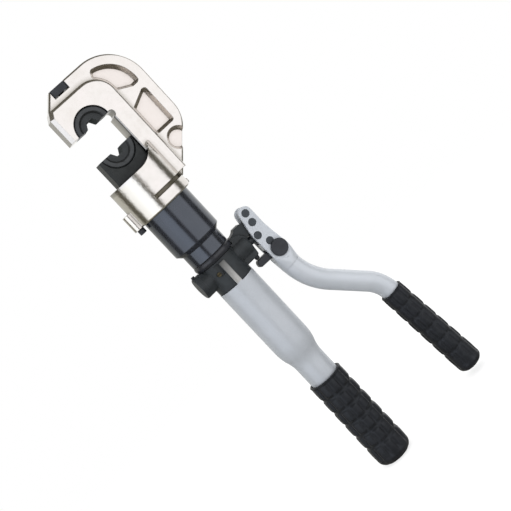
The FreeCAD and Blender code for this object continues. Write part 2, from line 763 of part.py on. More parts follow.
# ------------------------------------------------------------------
# Grips: tapered, with rows of raised pads between grooves and flutes
# ------------------------------------------------------------------
def grip_blank(top_r, bottom_r, length, rows, depth, width, flat, corner):
    """Turned grip from z = 0 to length. rows are the heights of the pads,
    top first; depth and width are the grooves'; flat is the radius of the
    flat end and corner the rounding outside it."""
    def radius_at(z):
        return bottom_r + (top_r - bottom_r) * z / length

    turn = math.radians(45)
    middle = (flat + corner * math.sin(turn), corner * (1 - math.cos(turn)))
    steps = [(0, 0.0), (flat, 0.0), ("arc", middle, (flat + corner, corner))]
    for gap in sorted((a + b) / 2 for a, b in zip(rows, rows[1:])):
        low, high = gap - width / 2, gap + width / 2
        steps.append((radius_at(low), low))
        steps.append(("arc", (radius_at(gap) - depth, gap), (radius_at(high), high)))
    end_r = radius_at(length)
    steps.append((radius_at(length - 1.6), length - 1.6))
    steps.append(("arc", (end_r - 0.5, length - 0.5), (end_r - 1.6, length)))
    steps.append((0, length))
    return lathe(steps)


def cut_flutes(grip, count, first_angle, flute_r, circle_r, z0, z1, pivot_z, taper):
    """Cut lengthwise flutes, leaned in by taper (run per length) about
    pivot_z, so that they stay as deep along the grip."""
    for k in range(count):
        angle = math.radians(360 / count * k + first_angle)
        x, y = circle_r * math.cos(angle), circle_r * math.sin(angle)
        flute = cyl(flute_r, z0, z1, x, y)
        tangent = Vec(-math.sin(angle), math.cos(angle), 0)
        flute.rotate(Vec(x, y, pivot_z), tangent, -math.degrees(math.atan(taper)))
        grip = grip.cut(flute)
    return grip


def main_grip():
    top_r, bottom_r, length = 22.6, 23.7, 129.5
    rows = [118.5, 98.8, 79.6, 60.2, 40.9, 21.0]
    grip = grip_blank(
        top_r, bottom_r, length, rows, depth=0.7, width=5.0, flat=13.7, corner=10.0
    )
    grip = cut_flutes(
        grip, count=10, first_angle=8.0, flute_r=2.4, circle_r=bottom_r + 1.25,
        z0=11.0, z1=127.0, pivot_z=0, taper=(bottom_r - top_r) / length,
    )
    # bore for the tube, then for the plug's flange below it
    bore_r = TUBE_SMALL_R + SNUG_FIT
    return cut_all(grip, cyl(bore_r, TUBE_Z0, 140), cyl(bore_r, 12.5, 20)).removeSplitter()


parts["main_grip"] = main_grip()

# ------------------------------------------------------------------
# Moving handle: bent tube and grip
# ------------------------------------------------------------------
ARM_R = 12.5
ARM_WALL = 2.5
ARM_X = 61.5              # upright top part of the tube
BEND1_R, BEND2_R = 78.0, 50.0
DIAGONAL_ANGLE = math.radians(43.6)   # from straight down
SPLAY_ANGLE = math.radians(6.2)
# distances below the second corner, along the splayed end
ARM_END = 144.0
GRIP_START, GRIP_END = 15.6, 152.0

DIAGONAL = Vec(math.sin(DIAGONAL_ANGLE), 0, -math.cos(DIAGONAL_ANGLE))
SPLAYED = Vec(math.sin(SPLAY_ANGLE), 0, -math.cos(SPLAY_ANGLE))
ARM_TOP = Vec(ARM_X, 0, 261.6)
CORNER1 = Vec(ARM_X, 0, 228.3)
CORNER2 = CORNER1 + DIAGONAL * ((159.3 - CORNER1.z) / DIAGONAL.z)
BEND1_TANGENT = BEND1_R * math.tan(DIAGONAL_ANGLE / 2)
BEND2_TANGENT = BEND2_R * math.tan((DIAGONAL_ANGLE - SPLAY_ANGLE) / 2)
BEND1_START = CORNER1 + Vec(0, 0, BEND1_TANGENT)


def bend(start, corner, end, radius):
    """Arc edge of the given radius, tangent at start and end."""
    chord_mid = (start + end) * 0.5
    half_chord = (start - chord_mid).Length
    outward = corner - chord_mid
    outward.normalize()
    rise = radius - math.sqrt(radius * radius - half_chord * half_chord)
    return Part.Arc(start, chord_mid + outward * rise, end).toShape()


def arm_path():
    bend1_end = CORNER1 + DIAGONAL * BEND1_TANGENT
    bend2_start = CORNER2 - DIAGONAL * BEND2_TANGENT
    bend2_end = CORNER2 + SPLAYED * BEND2_TANGENT
    return Part.Wire(
        [
            Part.makeLine(ARM_TOP, BEND1_START),
            bend(BEND1_START, CORNER1, bend1_end, BEND1_R),
            Part.makeLine(bend1_end, bend2_start),
            bend(bend2_start, CORNER2, bend2_end, BEND2_R),
            Part.makeLine(bend2_end, CORNER2 + SPLAYED * ARM_END),
        ]
    )


def arm_sweep(radius):
    profile = Part.Wire([Part.makeCircle(radius, ARM_TOP, Vec(0, 0, 1))])
    return as_solid(arm_path().makePipeShell([profile], True, False))


def moving_grip():
    """Built upright on the origin, then tilted onto the tube's end."""
    top_r, bottom_r, length = 15.3, 17.1, GRIP_END - GRIP_START
    rows = [length - 11.0 - 20.4 * i for i in range(7)]
    grip = grip_blank(
        top_r, bottom_r, length, rows, depth=0.6, width=4.6, flat=9.1, corner=8.0
    )
    grip = cut_flutes(
        grip, count=8, first_angle=-8.0, flute_r=1.9, circle_r=bottom_r + 1.15,
        z0=10, z1=length - 4, pivot_z=10, taper=(bottom_r - top_r) / length,
    )
    # bore for the tube, wider at the mouth
    bore = cyl(ARM_R + CLOSE_FIT, GRIP_END - ARM_END - 0.3, length + 5)
    grip = grip.cut(bore.fuse(cyl(ARM_R + 0.35, length - 6, length + 5)))
    grip.rotate(Vec(0, 0, 0), Vec(0, 1, 0), -math.degrees(SPLAY_ANGLE))
    grip.translate(CORNER2 + SPLAYED * GRIP_END)
    return grip.removeSplitter()


parts["handle_tube"] = arm_sweep(ARM_R).cut(arm_sweep(ARM_R - ARM_WALL))
parts["moving_grip"] = moving_grip()

# ------------------------------------------------------------------
# Fork: two plates bridged at the bottom, with a spigot in the tube
# ------------------------------------------------------------------
FORK_HALF = 11.0
SLOT_HALF = 7.1
WEB_REACH = SLOT_HALF + 0.5   # half width of the webs across the slot
FLARE_Z = 274.0           # the fork's plates end here and run into the sleeve
SLEEVE_R, SLEEVE_Z = 12.86, 251.5   # round lower end of the sleeve
AXLE_R = 4.0
AXLE_CAP_R, AXLE_HEAD_R = 10.4, 6.2

# side view of the plates, (x, z)
FORK_OUTLINE = [
    (51.8, 333.2), arc(STOP, 8.4, 164.8, 10.0),
    (68.4, 326.0), (68.6, 308.0), (70.0, 296.0), (72.6, 281.0),
    (73.75, FLARE_Z), (73.75, FLARE_Z - 1.0),
    (48.95, FLARE_Z - 1.0), (48.95, FLARE_Z),
    (48.0, 290.0), (47.6, 304.0), ("arc", (48.5, 314.0), (50.2, 322.0)),
]


def section_wire(sides, centre_x, z, lean=0.0):
    """Closed wire about (centre_x, 0, z), leaned about Y by lean radians.
    Each side is (start, end) for a line or (start, middle, end) for an arc."""
    edges = []
    for side in sides:
        points = [
            Vec(centre_x + x * math.cos(lean), y, z + x * math.sin(lean)) for x, y in side
        ]
        if len(points) == 2:
            edges.append(Part.makeLine(*points))
        else:
            edges.append(Part.Arc(*points).toShape())
    return Part.Wire(edges)


def oblong_sides(half_x, half_y, corner_r):
    """Four lines and four rounded corners, from the +X side round by +Y."""
    x1, y1 = half_x - corner_r, half_y - corner_r
    reach = corner_r * math.sqrt(0.5)
    x2, y2 = x1 + reach, y1 + reach
    return [
        ((half_x, -y1), (half_x, y1)),
        ((half_x, y1), (x2, y2), (x1, half_y)),
        ((x1, half_y), (-x1, half_y)),
        ((-x1, half_y), (-x2, y2), (-half_x, y1)),
        ((-half_x, y1), (-half_x, -y1)),
        ((-half_x, -y1), (-x2, -y2), (-x1, -half_y)),
        ((-x1, -half_y), (x1, -half_y)),
        ((x1, -half_y), (x2, -y2), (half_x, -y1)),
    ]


def round_sides(radius):
    """Eight equal arcs, to match the sides of the oblong sections."""
    return [
        [on_circle((0, 0), radius, 45 * i + turn) for turn in (-22.5, 0, 22.5)]
        for i in range(8)
    ]


def fork_flare():
    """Smooth change from the fork's oblong section to the round tube."""
    lean = math.asin((BEND1_START.z - SLEEVE_Z) / BEND1_R)
    sleeve_x = ARM_X + BEND1_R * (1 - math.cos(lean))
    wires = [
        section_wire(oblong_sides(12.47, FORK_HALF + 0.05, 1.0), 61.35, FLARE_Z),
        section_wire(oblong_sides(12.6, 11.5, 3.2), 61.4, FLARE_Z - 5.5),
        section_wire(oblong_sides(12.8, 12.5, 8.0), 61.45, FLARE_Z - 12.0),
        section_wire(round_sides(SLEEVE_R), sleeve_x, SLEEVE_Z, lean),
    ]
    return Part.makeLoft(wires, True, False)


def handle_fork():
    fork = prism(FORK_OUTLINE, -FORK_HALF, FORK_HALF)
    fork = round_both_faces(
        fork, 1.0, lambda p: near(abs(p.y), FORK_HALF) and p.z > FLARE_Z - 0.9
    )
    # below the plates the fork runs out into a round sleeve on the tube
    fork = fork.fuse(fork_flare())
    fork = fork.cut(box(30, 90, -SLOT_HALF, SLOT_HALF, 264.5, 350))
    # two webs close the slot on the pump's side, above and below the lever
    fork = fork.fuse(box(48.6, 51.2, -WEB_REACH, WEB_REACH, 284.2, 293.0))
    fork = fork.fuse(box(49.2, 52.6, -WEB_REACH, WEB_REACH, 264.0, 270.9))
    fork = cut_all(
        fork,
        # seats of the axle's cap and head, and the bore for the tube
        cyl_y(AXLE_CAP_R + RUN, -20, -FORK_HALF, *AXLE),
        cyl_y(AXLE_HEAD_R + 0.1, FORK_HALF + 0.05, 20, *AXLE),
        arm_sweep(ARM_R + CLOSE_FIT),
    )
    fork = fork.fuse(cyl(ARM_R - ARM_WALL - 0.4, 255.5, 262.5, ARM_X))
    for centre in (FULCRUM, LINK, STOP, RIVET):
        fork = fork.cut(cyl_y(PIN_R + SNUG_FIT, -20, 20, *centre))
    return fork.cut(cyl_y(AXLE_R + RUN, -20, 20, *AXLE)).removeSplitter()


parts["handle_fork"] = handle_fork()

# ------------------------------------------------------------------
# Fork pins and their clips
# ------------------------------------------------------------------
PIN_GROOVE_R = 3.9


def fork_pin(centre, middle_r, front=11.35, back=12.6):
    inner = SLOT_HALF + 0.05
    pin = cyl_y(PIN_R, -front, -inner, *centre).fuse(cyl_y(PIN_R, inner, back, *centre))
    pin = pin.fuse(cyl_y(middle_r, -9, 9, *centre))
    pin = round_edges(pin, 0.5, lambda p: near(p.y, -front))
    # clip groove at the back end
    return pin.cut(ring(8, PIN_GROOVE_R, 11.2, 11.9, *centre, along=cyl_y)).removeSplitter()


def pin_clip(centre):
    """Clip with its gap at the bottom."""
    x, z = centre
    clip = ring(5.7, PIN_GROOVE_R + RUN, 11.25, 11.85, x, z, along=cyl_y)
    return clip.cut(box(x - 1.8, x + 1.8, 11, 12, z - 8, z))


parts["fulcrum_pin"] = fork_pin(FULCRUM, PIN_R)
parts["plunger_pin"] = fork_pin(LINK, 2.6)
parts["stop_pin"] = fork_pin(STOP, 3.1)
parts["fork_rivet"] = fork_pin(RIVET, 3.0, front=11.0)
parts["pin_clips"] = Part.makeCompound([pin_clip(c) for c in (FULCRUM, LINK, STOP, RIVET)])

# ------------------------------------------------------------------
# Release lever on its capped axle
# ------------------------------------------------------------------
LEVER_HALF = 5.0
# (x, z)
LEVER_OUTLINE = [
    (62.0, 281.2), (35.6, 281.2),
    ("arc", (32.6, 279.6), (31.6, 276.6)), ("arc", (32.2, 273.4), (35.0, 272.2)),
    (62.0, 271.4),
]


def lever_axle():
    cap = cyl_y(AXLE_CAP_R, -14.2, -11.05, *AXLE)
    cap = round_edges(cap, 1.0, lambda p: near(p.y, -14.2))
    axle = cap.fuse(cyl_y(AXLE_R, -12, 12.6, *AXLE))
    return axle.fuse(cyl_y(AXLE_HEAD_R, 11.1, 12.6, *AXLE)).removeSplitter()


def release_lever():
    arm = prism(LEVER_OUTLINE, -LEVER_HALF, LEVER_HALF)
    arm = round_edges(arm, 1.2, lambda p: near(abs(p.y), LEVER_HALF) and p.x < 61)
    lever = cyl_y(8.0, -LEVER_HALF, LEVER_HALF, *AXLE).fuse(arm)
    return lever.cut(cyl_y(AXLE_R + RUN, -20, 20, *AXLE)).removeSplitter()


parts["lever_axle"] = lever_axle()
parts["release_lever"] = release_lever()

# ------------------------------------------------------------------
# Export
# ------------------------------------------------------------------
for name, shape in sorted(parts.items()):
    shape.exportStep("parts/%s.step" % name)
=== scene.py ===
# A hand press with a pair of dies: a plated head over a ram, cylinder and pump, a fixed
# main grip below, and a moving handle that slants out to +X. It stands upright (+Z up),
# the throat of the head opens toward -X, and the camera looks from the front, -Y.
# Lengths are in metres.
import json
import math
import random

import bmesh
import bpy
from mathutils import Matrix, Vector


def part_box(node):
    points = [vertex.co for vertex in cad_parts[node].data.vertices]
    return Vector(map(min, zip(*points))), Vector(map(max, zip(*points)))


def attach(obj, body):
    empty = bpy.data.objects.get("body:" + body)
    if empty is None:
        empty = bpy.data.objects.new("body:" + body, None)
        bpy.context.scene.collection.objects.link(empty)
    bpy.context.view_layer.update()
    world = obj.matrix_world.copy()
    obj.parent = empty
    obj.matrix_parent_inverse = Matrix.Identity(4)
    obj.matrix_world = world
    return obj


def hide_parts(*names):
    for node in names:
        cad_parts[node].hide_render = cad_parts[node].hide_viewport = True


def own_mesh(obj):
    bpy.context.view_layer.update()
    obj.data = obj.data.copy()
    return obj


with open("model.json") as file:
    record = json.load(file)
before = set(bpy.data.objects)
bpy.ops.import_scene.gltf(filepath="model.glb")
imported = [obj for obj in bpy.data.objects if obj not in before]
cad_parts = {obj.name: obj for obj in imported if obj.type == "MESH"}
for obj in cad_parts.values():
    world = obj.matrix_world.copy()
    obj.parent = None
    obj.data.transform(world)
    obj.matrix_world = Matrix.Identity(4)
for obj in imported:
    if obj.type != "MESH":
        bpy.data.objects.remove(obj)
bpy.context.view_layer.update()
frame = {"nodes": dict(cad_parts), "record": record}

random.seed(7)  # fixed, so that any random draw repeats
scene = bpy.context.scene

# ------------------------------------------------------------------
# camera
# ------------------------------------------------------------------
CAMERA_PLACE = (-0.23376, -1.22359, 0.45847)
CAMERA_AZIMUTH = math.radians(-12.5)  # about Z from the front, negative toward -X
CAMERA_ELEVATION = math.radians(7.8)
CAMERA_ROLL = math.radians(42.841)


def add_camera():
    data = bpy.data.cameras.new("camera")
    data.lens = 77.495
    data.sensor_width = 36.0
    data.clip_start = 0.05
    data.clip_end = 50.0
    camera = bpy.data.objects.new("camera", data)
    scene.collection.objects.link(camera)

    flat = math.cos(CAMERA_ELEVATION)
    back = Vector((
        math.sin(CAMERA_AZIMUTH) * flat,
        -math.cos(CAMERA_AZIMUTH) * flat,
        math.sin(CAMERA_ELEVATION),
    ))
    level_right = (-back).cross(Vector((0, 0, 1))).normalized()
    level_up = level_right.cross(-back)
    cos_roll = math.cos(CAMERA_ROLL)
    sin_roll = math.sin(CAMERA_ROLL)
    right = level_right * cos_roll - level_up * sin_roll
    up = level_right * sin_roll + level_up * cos_roll
    turn = Matrix((right, up, back)).transposed().to_4x4()
    camera.matrix_world = Matrix.Translation(CAMERA_PLACE) @ turn
    scene.camera = camera


add_camera()
scene.view_settings.view_transform = "Standard"
scene.view_settings.look = "None"
scene.view_settings.exposure = 0.0
scene.view_settings.gamma = 1.0


# ------------------------------------------------------------------
# shader node helpers
# ------------------------------------------------------------------
class Nodes:
    """Builds a node tree. A value may be a number, a colour, a socket or a node."""

    def __init__(self, tree):
        self.tree = tree
        tree.nodes.clear()

    def add(self, kind, settings=None, **inputs):
        """Input names are written with _ for each space."""
        node = self.tree.nodes.new(kind)
        node.location.x = 40 * len(self.tree.nodes)
        for key, value in (settings or {}).items():
            setattr(node, key, value)
        for key, value in inputs.items():
            self.put(node.inputs[key.replace("_", " ")], value)
        return node

    def put(self, socket, value):
        if isinstance(value, bpy.types.NodeSocket):
            self.tree.links.new(value, socket)
        elif isinstance(value, bpy.types.Node):
            self.tree.links.new(value.outputs[0], socket)
        elif isinstance(value, tuple) and len(value) == 3 and socket.type == "RGBA":
            socket.default_value = (*value, 1.0)
        else:
            socket.default_value = value

    def put_all(self, node, values):
        """Fill the inputs from the first on."""
        for i, value in enumerate(values):
            self.put(node.inputs[i], value)
        return node

    # arithmetic
    def math(self, operation, *values):
        node = self.add("ShaderNodeMath", {"operation": operation})
        return self.put_all(node, values).outputs[0]

    def chain(self, operation, values):
        result = values[0]
        for value in values[1:]:
            result = self.math(operation, result, value)
        return result

    def times(self, *factors):
        return self.chain("MULTIPLY", factors)

    def plus(self, *terms):
        return self.chain("ADD", terms)

    def minus(self, first, second):
        return self.math("SUBTRACT", first, second)

    def hypot(self, first, second):
        squares = self.plus(self.times(first, first), self.times(second, second))
        return self.math("SQRT", squares)

    def vector_math(self, operation, *values, output="Vector"):
        node = self.add("ShaderNodeVectorMath", {"operation": operation})
        return self.put_all(node, values).outputs[output]

    def split(self, vector):
        return self.add("ShaderNodeSeparateXYZ", Vector=vector).outputs

    def remap(self, value, source, target, smooth=False):
        settings = {"interpolation_type": "SMOOTHSTEP"} if smooth else {}
        node = self.add("ShaderNodeMapRange", settings)
        return self.put_all(node, (value, *source, *target)).outputs[0]

    def rise(self, value, start, end):
        """0 at start, 1 at end."""
        return self.remap(value, (start, end), (0.0, 1.0))

    def fall(self, value, start, end):
        """1 at start, 0 at end."""
        return self.remap(value, (start, end), (1.0, 0.0))

    # colour
    def mix(self, factor, first, second, blend="MIX"):
        node = self.add("ShaderNodeMix", {"data_type": "RGBA", "blend_type": blend})
        self.put(node.inputs[0], factor)
        self.put(node.inputs[6], first)
        self.put(node.inputs[7], second)
        return node.outputs[2]

    def tint(self, base, colour, *masks):
        """Move base toward colour by the product of the masks."""
        return self.mix(self.times(*masks), base, colour)

    def ramp(self, value, stops):
        node = self.add("ShaderNodeValToRGB")
        self.put(node.inputs[0], value)
        elements = node.color_ramp.elements
        while len(elements) < len(stops):
            elements.new(0.5)
        for k, (place, colour) in enumerate(stops):
            elements[k].position = place
            elements[k].color = (*colour, 1.0)
        return node.outputs[0]

    def vary(self, value, low, high):
        """One colour to another over the middle range of a noise."""
        return self.ramp(value, [(0.3, low), (0.7, high)])

    # patterns
    def coordinates(self, kind="Object"):
        return self.add("ShaderNodeTexCoord").outputs[kind]

    def facing(self, axis):
        """The object normal's part along an axis: 0 for X, 1 for Y."""
        return self.split(self.coordinates("Normal"))[axis]

    def noise(self, vector, scale, detail=3.0, rough=0.6):
        return self.add(
            "ShaderNodeTexNoise", Vector=vector, Scale=scale, Detail=detail, Roughness=rough
        ).outputs[0]

    def streaks(self, vector, scales, detail):
        """Noise stretched along the axis with the least scale."""
        stretched = self.vector_math("MULTIPLY", vector, scales)
        return self.noise(stretched, scale=1.0, detail=detail)

    def voronoi(self, vector, scale, output="Distance"):
        return self.add("ShaderNodeTexVoronoi", Vector=vector, Scale=scale).outputs[output]

    def bevel(self, radius):
        """The normal, rounded over edges."""
        return self.add("ShaderNodeBevel", {"samples": 6}, Radius=radius).outputs[0]

    def edge_mask(self, bevel):
        """1 where the rounded normal leaves the surface's own, 0 elsewhere."""
        normal = self.add("ShaderNodeNewGeometry").outputs["Normal"]
        match = self.vector_math("DOT_PRODUCT", bevel, normal, output="Value")
        return self.rise(self.minus(1.0, match), 0.02, 0.25)

    def crevice(self, distance):
        """1 in tight corners, 0 in the open; the materials paint shade into corners with it."""
        node = self.add("ShaderNodeAmbientOcclusion", {"samples": 6}, Distance=distance)
        return self.fall(node.outputs["AO"], 0.35, 0.95)

    def around_z(self, vector, axis_x=0.0):
        """x, y, z and radius about a vertical axis."""
        x, y, z = self.split(vector)
        x = self.minus(x, axis_x)
        return x, y, z, self.hypot(x, y)

    def turned(self, vector):
        """Fine lines round a vertical axis, as turning leaves."""
        x, y, z, radius = self.around_z(vector)
        lines = self.add(
            "ShaderNodeCombineXYZ",
            X=self.times(self.math("ARCTAN2", y, x), 0.35),
            Y=self.times(radius, 900.0),
            Z=self.times(z, 2600.0),
        )
        return self.noise(lines, scale=1.0, detail=2.0)

    def bump(self, height, strength, distance, **normal):
        return self.add(
            "ShaderNodeBump", Strength=strength, Distance=distance, Height=height, **normal
        ).outputs[0]

    # shaders
    def mix_shader(self, *values):
        """Factor, first shader, second shader."""
        return self.put_all(self.add("ShaderNodeMixShader"), values)

    def principled(self, **inputs):
        return self.add("ShaderNodeBsdfPrincipled", **inputs)

    def output(self, shader, kind="Material"):
        self.add("ShaderNodeOutput" + kind, Surface=shader)


def new_material(name):
    """The material, its nodes and its object coordinates."""
    material = bpy.data.materials.new(name)
    material.use_nodes = True
    net = Nodes(material.node_tree)
    return material, net, net.coordinates()


def shade(colour, factor):
    return tuple(channel * factor for channel in colour)


# ------------------------------------------------------------------
# materials
# ------------------------------------------------------------------
MIDDLE = (0.3, 0.7)  # the range most noise values fall in

# corner relief of the throat, darkened with painted shade: x and z of its centre
RELIEF_X, RELIEF_Z = 0.0233, 0.5144
HEAD_START = (0.4440, 0.4460)  # z over which the barrel gives way to the head
SHADE_FADE = (-0.0180, 0.0120)  # y from the front edge of the throat toward its back


def plated_steel():
    material, net, pos = new_material("satin_nickel")
    bevel = net.bevel(radius=0.0008)
    grain = net.noise(pos, scale=1900.0, detail=4.0)
    cloud = net.noise(pos, scale=46.0, detail=4.0, rough=0.55)
    mottle = net.noise(pos, scale=160.0)
    sparse = net.noise(pos, scale=210.0, detail=2.0, rough=0.5)
    pits = net.times(
        net.fall(net.voronoi(pos, scale=900.0), 0.0, 0.16),
        net.rise(sparse, 0.56, 0.68),
    )
    # ambient occlusion: corners get painted shade
    crevice_shade = net.crevice(distance=0.006)
    x, y, _ = net.split(pos)
    depth = net.math("ABSOLUTE", y)
    _, _, z, radius = net.around_z(pos)
    side = net.facing(0)

    # the floors of the web pockets are duller and a little warmer
    pocket = net.times(net.fall(depth, 0.0032, 0.0040), net.rise(x, 0.030, 0.036))
    # turned groove round the lower end of the barrel, painted dark as shade
    groove = net.times(
        net.rise(z, 0.4122, 0.4128),
        net.fall(z, 0.4173, 0.4179),
        net.fall(radius, 0.0374, 0.0379),
        net.rise(radius, 0.0336, 0.0340),
    )
    # surfaces of the throat that look toward -X, darkened with painted shade
    throat = net.times(
        net.rise(side, -0.25, -0.60),
        net.rise(z, *HEAD_START),
    )
    throat = net.times(
        throat,
        net.times(net.rise(x, 0.014, 0.016), net.fall(x, 0.0262, 0.0268)),
        net.fall(z, 0.5235, 0.5245),
    )
    from_relief = net.hypot(net.minus(x, RELIEF_X), net.minus(z, RELIEF_Z))
    relief = net.times(
        net.fall(from_relief, 0.0046, 0.0050),
        net.fall(depth, 0.0170, 0.0178),
    )
    # the end of the nose, facing -X, darkened with painted shade
    nose = net.times(
        net.rise(side, -0.80, -0.92),
        net.rise(z, *HEAD_START),
        net.rise(x, -0.0230, -0.0250),
    )
    # the barrel's side toward -X, except where it looks straight along -X, gets a painted warm
    # light
    warm_side_light = net.times(
        net.remap(side, (-0.15, -0.40), (0.0, 0.85)),
        net.fall(z, 0.4460, 0.4480),
        net.remap(side, (-0.93, -0.80), (0.1, 1.0)),
    )

    base = net.ramp(cloud, [
        (0.25, (0.69, 0.655, 0.615)),
        (0.5, (0.735, 0.705, 0.67)),
        (0.8, (0.76, 0.72, 0.69)),
    ])
    # mottled strength of the groove's painted shade
    groove_shade_mottle = net.remap(mottle, (0.25, 0.7), (0.95, 0.70))
    # painted shade on the throat and its corner relief, strongest at the front edge and fading
    # toward the back
    throat_shade = net.remap(y, SHADE_FADE, (0.85, 0.12))
    relief_shade = net.remap(y, SHADE_FADE, (0.92, 0.5))
    # colour, then the masks and strengths it is laid on with
    for colour, *masks in (
        ((0.60, 0.565, 0.50), net.rise(mottle, 0.4, 0.75), 0.16),
        # olive-brown painted shade in corners
        ((0.17, 0.15, 0.10), crevice_shade, 0.85),
        ((0.30, 0.27, 0.22), pits, 0.35),
        ((0.70, 0.635, 0.59), pocket, 0.6),
        # painted shade in the groove
        ((0.10, 0.085, 0.05), groove, groove_shade_mottle),
        # painted shade on the throat and in its corner relief
        ((0.115, 0.112, 0.105), throat, throat_shade),
        ((0.055, 0.053, 0.050), relief, relief_shade),
        # painted shade on the nose's end
        ((0.16, 0.155, 0.145), nose, 0.42),
        # painted warm light on the barrel's side
        ((0.80, 0.75, 0.66), warm_side_light),
    ):
        base = net.tint(base, colour, *masks)
    rough = net.plus(
        net.remap(mottle, (0.3, 0.75), (0.12, 0.20)),
        net.times(groove, 0.25),
        net.times(crevice_shade, 0.15),
    )
    height = net.plus(net.times(grain, 0.3), net.times(mottle, 1.2))
    height = net.minus(height, net.times(pits, 0.5))
    # the barrel keeps the orange-peel of the casting under its plating
    peel = net.times(
        net.noise(pos, scale=430.0),
        net.remap(z, (0.4200, 0.4290), (0.0, 1.3)),
    )
    height = net.plus(height, net.times(peel, net.fall(z, 0.4460, 0.4500)))
    net.output(net.principled(
        Base_Color=base,
        Metallic=1.0,
        Roughness=rough,
        Normal=net.bump(height, strength=0.26, distance=0.0005, Normal=bevel),
    ))
    return material


def gloss_black():
    material, net, pos = new_material("gloss_black")
    bevel = net.bevel(radius=0.0006)
    edge = net.edge_mask(bevel)
    lines = net.turned(pos)
    cloud = net.noise(pos, scale=70.0, rough=0.55)
    scratches = net.rise(net.streaks(pos, (900.0, 900.0, 60.0), detail=2.0), 0.66, 0.72)
    base = net.vary(cloud, (0.010, 0.011, 0.015), (0.016, 0.017, 0.022))
    base = net.tint(base, (0.10, 0.10, 0.11), scratches, 0.12)
    base = net.tint(base, (0.12, 0.12, 0.13), edge, 0.20)
    height = net.plus(lines, net.times(cloud, 0.5))
    net.output(net.principled(
        Base_Color=base,
        Metallic=0.0,
        Roughness=net.plus(
            net.remap(cloud, MIDDLE, (0.14, 0.22)),
            net.times(scratches, 0.12),
        ),
        Specular_IOR_Level=1.0,
        Specular_Tint=(0.80, 0.88, 1.0),
        Normal=net.bump(height, strength=0.05, distance=0.0002, Normal=bevel),
        Coat_Weight=0.12,
        Coat_Roughness=0.08,
    ))
    return material


def satin_black(name, colour, rough, specular, grain=1500.0, bump=0.25, wear=0.35, cores=()):
    """rough is a (least, most) pair, grain a noise scale; cores are the z of the die cores."""
    material, net, pos = new_material(name)
    bevel = net.bevel(radius=0.0006)
    edge = net.edge_mask(bevel)
    fine = net.noise(pos, scale=grain, detail=4.0, rough=0.62)
    cloud = net.noise(pos, scale=120.0, detail=4.0)
    chips = net.rise(net.noise(pos, scale=420.0, rough=0.7), 0.50, 0.66)
    worn = net.times(edge, chips, wear)
    crevice_shade = net.crevice(distance=0.004)
    base = net.vary(cloud, shade(colour, 0.75), shade(colour, 1.25))
    base = net.tint(base, (0.20, 0.20, 0.205), worn)
    # painted shade in corners
    base = net.tint(base, (0.006, 0.006, 0.006), crevice_shade, 0.4)
    roughness = net.remap(cloud, MIDDLE, rough)
    if cores:
        x, _, z = net.split(pos)
        # distance to the nearest core's axis, which lies along Y
        near = net.chain("MINIMUM", [net.hypot(net.minus(z, core_z), x) for core_z in cores])
        # the set-back core of each die gets painted shade: darker and duller than its rim
        core = net.fall(near, 0.0140, 0.0152)
        # the mouth's inner faces look away from the lamps: a flat dark grey with damped
        # reflection, as painted shade
        inner = net.times(
            net.fall(net.math("ABSOLUTE", net.facing(1)), 0.3, 0.6),
            net.fall(near, 0.0100, 0.0112),
        )
        # the step between core and rim, painted near black as shade
        step = net.times(net.rise(near, 0.0137, 0.0141), net.fall(near, 0.0154, 0.0163))
        base = net.tint(base, (0.016, 0.018, 0.018), core, 0.35)
        base = net.tint(base, (0.007, 0.0075, 0.0075), step, 0.75)
        base = net.tint(base, (0.040, 0.045, 0.045), inner)
        specular = net.times(
            net.remap(core, (0.0, 1.0), (specular, specular * 0.55)),
            net.remap(inner, (0.0, 1.0), (1.0, 0.10)),
        )
        roughness = net.plus(roughness, net.times(inner, 0.35))
    height = net.plus(fine, net.times(cloud, 0.6))
    net.output(net.principled(
        Base_Color=base,
        Metallic=net.times(worn, 0.8),
        Roughness=roughness,
        Specular_IOR_Level=specular,
        Normal=net.bump(height, strength=bump, distance=0.0003, Normal=bevel),
    ))
    return material


def handle_paint(name, gain, bare=False):
    """Grey paint with metal flakes; gain sets how light it is."""
    material, net, pos = new_material(name)
    bevel = net.bevel(radius=0.0008)
    cloud = net.noise(pos, scale=22.0, rough=0.5)
    mottle = net.noise(pos, scale=130.0)
    flake = net.add("ShaderNodeSeparateColor", Color=net.voronoi(pos, 5200.0, "Color"))
    flake = net.times(net.remap(flake, (0.0, 1.0), (0.85, 1.15)), gain)
    peel = net.noise(pos, scale=520.0, detail=2.0, rough=0.5)
    crevice_shade = net.crevice(distance=0.004)
    base = net.vary(cloud, (0.395, 0.417, 0.446), (0.440, 0.462, 0.492))
    base = net.tint(base, (0.46, 0.47, 0.50), net.rise(mottle, 0.45, 0.8), 0.2)
    flake_grey = net.add("ShaderNodeCombineXYZ", X=flake, Y=flake, Z=flake)
    base = net.mix(1.0, base, flake_grey, blend="MULTIPLY")
    # painted shade in corners
    base = net.tint(base, (0.14, 0.145, 0.15), crevice_shade, 0.35)
    metallic = 0.22
    height = net.plus(net.times(peel, 0.8), net.times(mottle, 0.7))
    if bare:
        # the tongue above the tube is brushed bare metal, with painted shade toward its upper
        # end
        z = net.split(pos)[2]
        tongue = net.rise(z, 0.2812, 0.2826)
        brush = net.streaks(pos, (3200.0, 3200.0, 90.0), detail=3.0)
        steel = net.ramp(brush, [(0.25, (0.36, 0.355, 0.34)), (0.75, (0.55, 0.545, 0.53))])
        darker = net.remap(z, (0.2860, 0.3110), (0.0, 0.95))
        steel = net.tint(steel, (0.13, 0.13, 0.125), darker)
        base = net.tint(base, steel, tongue)
        metallic = net.remap(tongue, (0.0, 1.0), (metallic, 0.9))
        height = net.plus(height, net.times(brush, tongue, 0.8))
    net.output(net.principled(
        Base_Color=base,
        Metallic=metallic,
        Roughness=net.remap(mottle, MIDDLE, (0.33, 0.43)),
        Specular_IOR_Level=0.4,
        Normal=net.bump(height, strength=0.07, distance=0.0003, Normal=bevel),
        Coat_Weight=0.08,
        Coat_Roughness=0.22,
    ))
    return material


